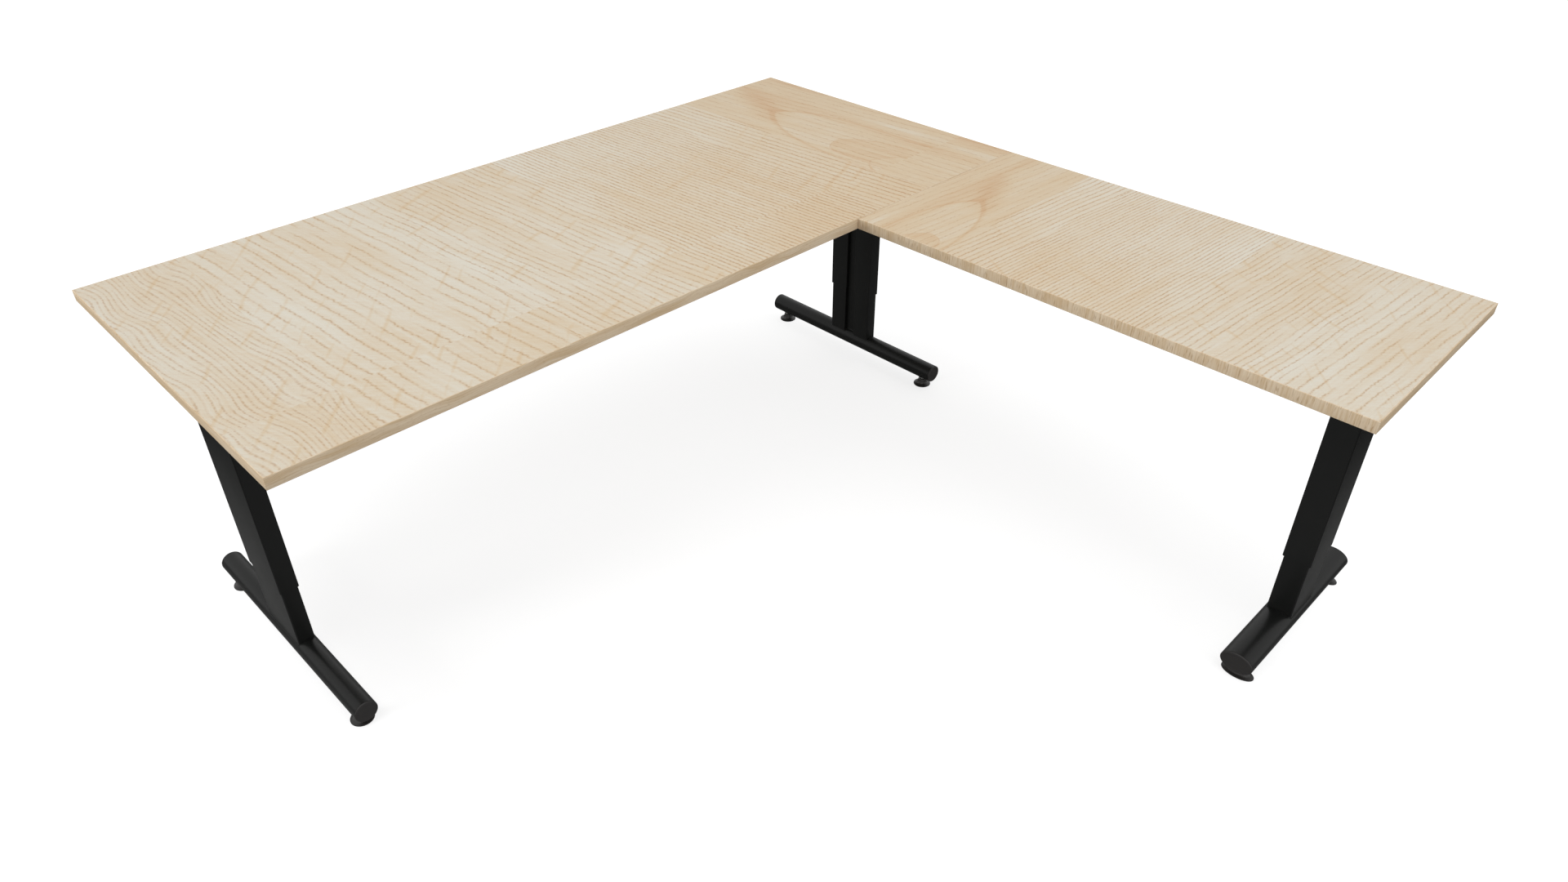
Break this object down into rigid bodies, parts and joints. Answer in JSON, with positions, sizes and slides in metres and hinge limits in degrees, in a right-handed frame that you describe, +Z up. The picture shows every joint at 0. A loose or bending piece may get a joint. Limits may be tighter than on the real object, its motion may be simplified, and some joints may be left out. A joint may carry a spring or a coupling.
{
  "type": "corner desk",
  "caption": "L-shaped office desk in light oak decor: a main top and a return top on black T-legs with telescopic columns, round feet and levelling glides.",
  "frame": {"origin": "on the floor, at the middle of the desk's footprint", "axes": "+X along the main top towards the return's side, +Y from the user's edge to the rear edge, +Z up"},
  "size_m": [2, 2.08, 0.75],
  "materials": {
    "oak_decor": "matt light oak melamine, fine pores across each top",
    "oak_edge_band": "2 mm edge band in the same oak decor",
    "black_powder_coat": "black powder coat, satin",
    "black_plastic": "black moulded plastic, fine grain",
    "zinc_steel": "zinc-plated steel"
  },
  "bodies": {
    "desk_frame": {"front_rail": "black_powder_coat", "left_clamp_screw": "zinc_steel", "left_outer_sleeve": "black_powder_coat", "left_support_arm": "black_powder_coat", "main_top": "oak_decor", "main_top_edge_band_back": "oak_edge_band", "main_top_edge_band_front": "oak_edge_band", "main_top_edge_band_left": "oak_edge_band", "main_top_edge_band_right": "oak_edge_band", "middle_clamp_screw": "zinc_steel", "middle_outer_sleeve": "black_powder_coat", "middle_support_arm": "black_powder_coat", "rear_rail": "black_powder_coat", "return_clamp_screw": "zinc_steel", "return_outer_sleeve": "black_powder_coat", "return_rail_left": "black_powder_coat", "return_rail_right": "black_powder_coat", "return_support_arm": "black_powder_coat", "return_top": "oak_decor", "return_top_edge_band_back": "oak_edge_band", "return_top_edge_band_front": "oak_edge_band", "return_top_edge_band_left": "oak_edge_band", "return_top_edge_band_right": "oak_edge_band", "seam_plate_left": "zinc_steel", "seam_plate_right": "zinc_steel"},
    "left_foot": {"left_column_guide": "black_plastic", "left_foot_cap_front": "black_plastic", "left_foot_cap_rear": "black_plastic", "left_foot_tube": "black_powder_coat", "left_glide_insert_front": "zinc_steel", "left_glide_insert_rear": "zinc_steel", "left_inner_column": "black_powder_coat"},
    "middle_foot": {"middle_column_guide": "black_plastic", "middle_foot_cap_front": "black_plastic", "middle_foot_cap_rear": "black_plastic", "middle_foot_tube": "black_powder_coat", "middle_glide_insert_front": "zinc_steel", "middle_glide_insert_rear": "zinc_steel", "middle_inner_column": "black_powder_coat"},
    "return_foot": {"return_column_guide": "black_plastic", "return_foot_cap_left": "black_plastic", "return_foot_cap_right": "black_plastic", "return_foot_tube": "black_powder_coat", "return_glide_insert_left": "zinc_steel", "return_glide_insert_right": "zinc_steel", "return_inner_column": "black_powder_coat"},
    "left_glide_front": {"left_glide_pad_front": "black_plastic", "left_glide_stud_front": "zinc_steel"},
    "left_glide_rear": {"left_glide_pad_rear": "black_plastic", "left_glide_stud_rear": "zinc_steel"},
    "middle_glide_front": {"middle_glide_pad_front": "black_plastic", "middle_glide_stud_front": "zinc_steel"},
    "middle_glide_rear": {"middle_glide_pad_rear": "black_plastic", "middle_glide_stud_rear": "zinc_steel"},
    "return_glide_left": {"return_glide_pad_left": "black_plastic", "return_glide_stud_left": "zinc_steel"},
    "return_glide_right": {"return_glide_pad_right": "black_plastic", "return_glide_stud_right": "zinc_steel"}
  },
  "joints": [
    {"name": "left_height", "type": "slide", "parent": "desk_frame", "child": "left_foot", "axis": [0, 0, -1], "range_m": [-0.1, 0.1]},
    {"name": "middle_height", "type": "slide", "parent": "desk_frame", "child": "middle_foot", "axis": [0, 0, -1], "range_m": [-0.1, 0.1]},
    {"name": "return_height", "type": "slide", "parent": "desk_frame", "child": "return_foot", "axis": [0, 0, -1], "range_m": [-0.1, 0.1]},
    {"name": "left_level_front", "type": "slide", "parent": "left_foot", "child": "left_glide_front", "axis": [0, 0, -1], "range_m": [-0.002, 0.012]},
    {"name": "left_level_rear", "type": "slide", "parent": "left_foot", "child": "left_glide_rear", "axis": [0, 0, -1], "range_m": [-0.002, 0.012]},
    {"name": "middle_level_front", "type": "slide", "parent": "middle_foot", "child": "middle_glide_front", "axis": [0, 0, -1], "range_m": [-0.002, 0.012]},
    {"name": "middle_level_rear", "type": "slide", "parent": "middle_foot", "child": "middle_glide_rear", "axis": [0, 0, -1], "range_m": [-0.002, 0.012]},
    {"name": "return_level_left", "type": "slide", "parent": "return_foot", "child": "return_glide_left", "axis": [0, 0, -1], "range_m": [-0.002, 0.012]},
    {"name": "return_level_right", "type": "slide", "parent": "return_foot", "child": "return_glide_right", "axis": [0, 0, -1], "range_m": [-0.002, 0.012]}
  ],
  "couplings": [
    {"joint": "middle_height", "follows": "left_height", "ratio": 1},
    {"joint": "return_height", "follows": "left_height", "ratio": 1}
  ]
}
